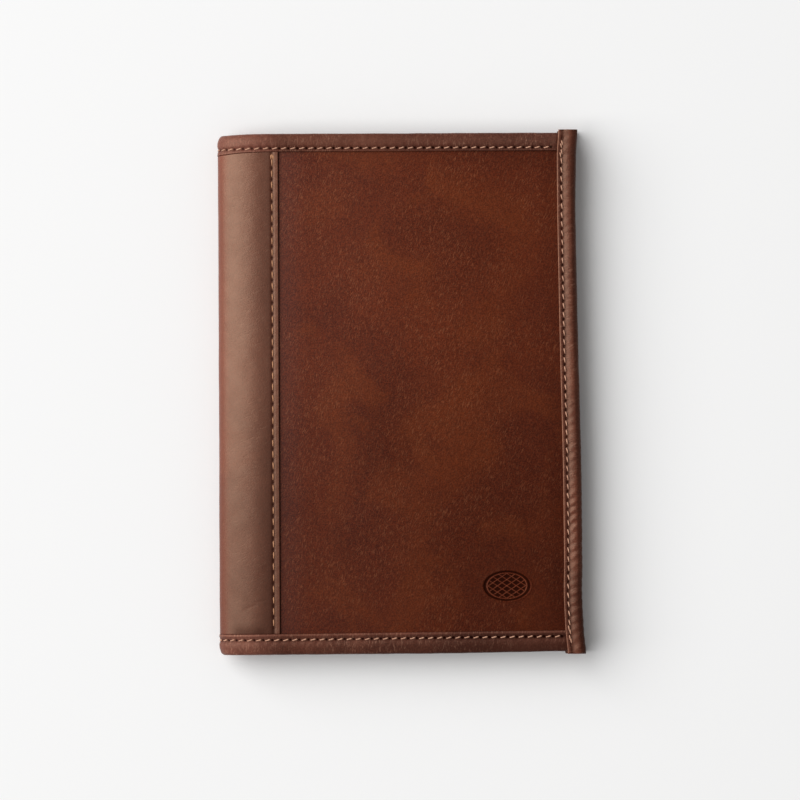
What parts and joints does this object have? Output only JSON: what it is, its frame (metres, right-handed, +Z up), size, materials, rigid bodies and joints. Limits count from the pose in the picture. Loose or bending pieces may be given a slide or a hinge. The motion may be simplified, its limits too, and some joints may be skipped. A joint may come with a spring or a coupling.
{
  "type": "leather notebook cover",
  "caption": "Stitched leather cover with folded edge bindings, a spine band and inner sleeves, holding a soft A5 notebook; it opens flat.",
  "frame": {"origin": "centre of the bounding box at the surface the closed cover lies on", "axes": "+X from the spine to the fore edge, +Y from tail to head, +Z up through the front cover"},
  "size_m": [0.1572, 0.2258, 0.018],
  "materials": {
    "leather": "smooth pull-up leather, satin",
    "binding": "smooth pull-up leather, satin",
    "band": "smooth pull-up leather, satin",
    "sleeve": "matte split leather",
    "lining": "matte cotton",
    "thread": "waxed thread",
    "card": "matte",
    "pages": "matte"
  },
  "bodies": {
    "back": {"back_leather": "leather", "back_lining": "lining", "back_sleeve": "sleeve", "bottom_binding_back": "binding", "bottom_seam_back": "thread", "fore_edge_binding_back": "binding", "fore_edge_seam_back": "thread", "notebook_cover_back": "card", "pages_back": "pages", "spine_band_back": "band", "spine_band_seam_back": "thread", "top_binding_back": "binding", "top_seam_back": "thread"},
    "spine": {"bottom_binding_spine": "binding", "bottom_seam_spine": "thread", "notebook_spine": "card", "spine_band_middle": "band", "spine_leather": "leather", "spine_lining": "lining", "top_binding_spine": "binding", "top_seam_spine": "thread"},
    "front": {"bottom_binding_front": "binding", "bottom_seam_front": "thread", "fore_edge_binding_front": "binding", "fore_edge_seam_front": "thread", "front_leather": "leather", "front_lining": "lining", "front_sleeve": "sleeve", "notebook_cover_front": "card", "pages_front": "pages", "spine_band_front": "band", "spine_band_seam_front": "thread", "top_binding_front": "binding", "top_seam_front": "thread"}
  },
  "joints": [
    {"name": "back_hinge", "type": "hinge", "parent": "back", "child": "spine", "pos_m": [-0.07645, 0, 0.0022], "axis": [0, -1, 0], "range_deg": [0, 90]},
    {"name": "front_hinge", "type": "hinge", "parent": "spine", "child": "front", "pos_m": [-0.07645, 0, 0.0158], "axis": [0, -1, 0], "range_deg": [0, 90]}
  ]
}
